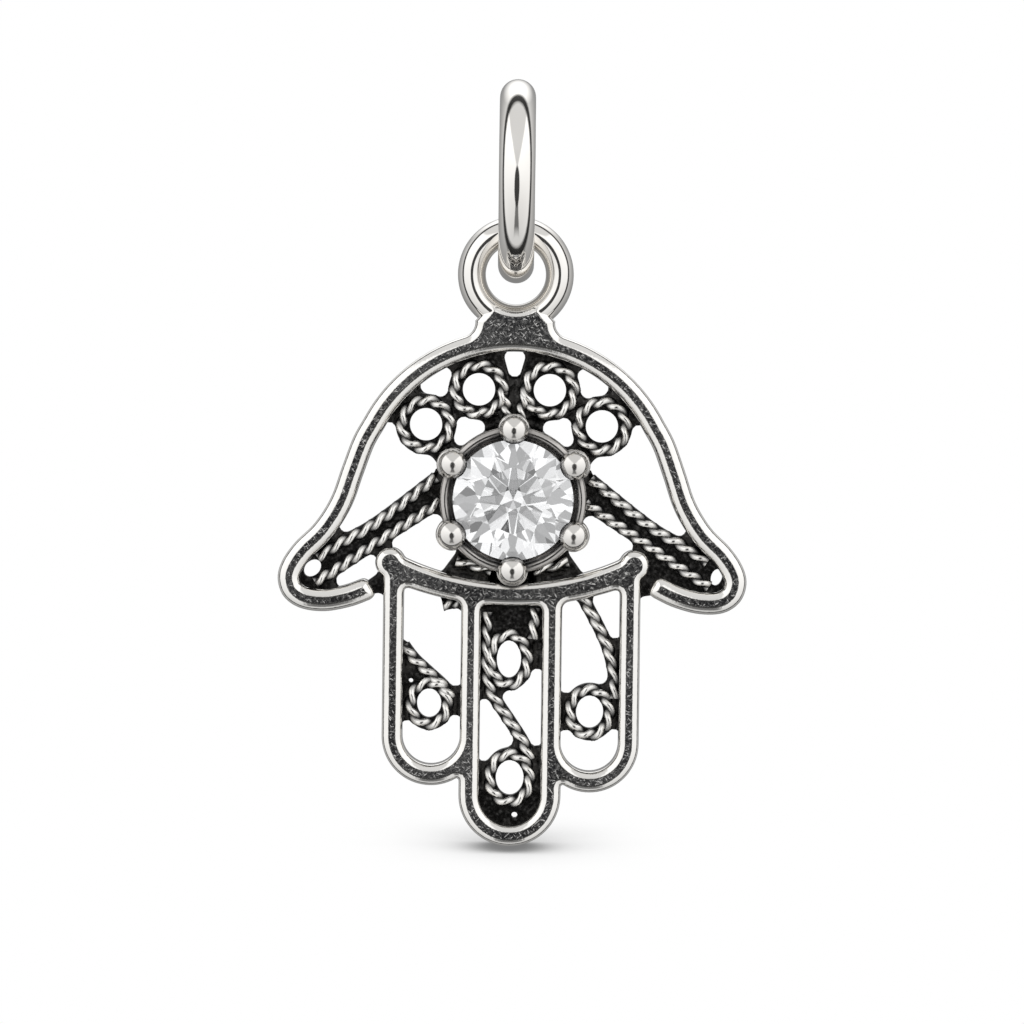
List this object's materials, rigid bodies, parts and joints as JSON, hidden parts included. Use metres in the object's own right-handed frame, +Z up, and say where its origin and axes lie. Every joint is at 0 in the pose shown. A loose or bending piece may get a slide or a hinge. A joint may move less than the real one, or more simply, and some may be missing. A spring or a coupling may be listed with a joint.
{
  "type": "hamsa pendant",
  "caption": "Open hand pendant hung from a plain jump ring, with pierced twisted-wire scrolls and one round faceted stone in claws.",
  "frame": {"origin": "inner top of the jump ring, where a chain bears", "axes": "+Z up, +X to the right seen from the front, and the front of the hand looks along -Y"},
  "size_m": [0.0156, 0.0068, 0.0255],
  "materials": {
    "oxidised_silver": "cast silver, polished edges, grained dark flats and blackened recesses",
    "polished_silver": "mirror-polished silver",
    "clear_stone": "clear cut stone"
  },
  "bodies": {
    "ring": {"jump_ring": "polished_silver"},
    "hand": {"hand": "oxidised_silver", "stone": "clear_stone"}
  },
  "joints": [
    {"name": "hand_swing", "type": "hinge", "parent": "ring", "child": "hand", "pos_m": [0, 0, -0.005], "axis": [0, 1, 0], "range_deg": [-115, 115]}
  ]
}
